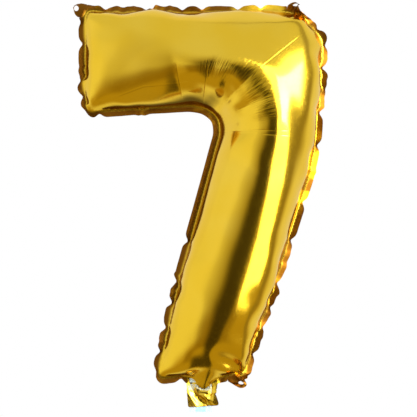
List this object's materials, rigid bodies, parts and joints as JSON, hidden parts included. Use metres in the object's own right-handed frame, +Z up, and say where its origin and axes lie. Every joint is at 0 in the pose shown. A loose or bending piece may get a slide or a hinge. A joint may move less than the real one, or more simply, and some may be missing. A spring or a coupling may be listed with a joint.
{
  "type": "foil number balloon",
  "caption": "Inflated gold foil balloon in the shape of the figure seven, with hanging tabs, an inflation tail and a self-sealing film valve.",
  "frame": {"origin": "centre of the hanging hole in the top left tab, in the plane where the two foil panels are welded", "axes": "+Z up as the figure hangs upright, +X to the right of a person who reads the figure, +Y to the back, so the front panel faces -Y"},
  "size_m": [0.2229, 0.0804, 0.3602],
  "materials": {
    "foil_front": "metallised gold film, mirror bright",
    "foil_rear": "metallised gold film, mirror bright",
    "foil_tabs": "metallised gold film, heat welded and slightly rippled",
    "valve_film": "clear soft film",
    "release_print": "pale blue translucent print"
  },
  "bodies": {
    "root": {"front_panel": "foil_front", "rear_panel": "foil_rear", "valve_film_front": "valve_film", "valve_film_rear": "valve_film", "release_print": "release_print"},
    "flap": {"valve_flap": "valve_film"},
    "tail": {"tail_front": "foil_front", "tail_rear": "foil_rear", "tail_film_front": "valve_film", "tail_film_rear": "valve_film", "tail_print": "release_print"},
    "tab_left": {"hang_tab_left": "foil_tabs"},
    "tab_right": {"hang_tab_right": "foil_tabs"},
    "tab_foot": {"hang_tab_foot": "foil_tabs"}
  },
  "joints": [
    {"name": "valve_open", "type": "hinge", "parent": "root", "child": "flap", "pos_m": [0.10834, -0.00022, -0.31593], "axis": [1, 0, 0], "range_deg": [0, 6], "stiffness_Nm_per_rad": 0.0005, "springref_deg": -5.73},
    {"name": "tail_fold", "type": "hinge", "parent": "root", "child": "tail", "pos_m": [0.10834, 0, -0.32431], "axis": [1, 0, 0], "range_deg": [-90, 90], "stiffness_Nm_per_rad": 0.0002},
    {"name": "left_tab_fold", "type": "hinge", "parent": "root", "child": "tab_left", "pos_m": [0.00606, 0, -0.00182], "axis": [0.7071, 0, 0.7071], "range_deg": [-90, 90], "stiffness_Nm_per_rad": 0.00002},
    {"name": "right_tab_fold", "type": "hinge", "parent": "root", "child": "tab_right", "pos_m": [0.18819, 0, 0.00114], "axis": [1, 0, 0], "range_deg": [-90, 90], "stiffness_Nm_per_rad": 0.00002},
    {"name": "foot_tab_fold", "type": "hinge", "parent": "root", "child": "tab_foot", "pos_m": [0.13854, 0, -0.32431], "axis": [1, 0, 0], "range_deg": [-90, 90], "stiffness_Nm_per_rad": 0.00002}
  ]
}
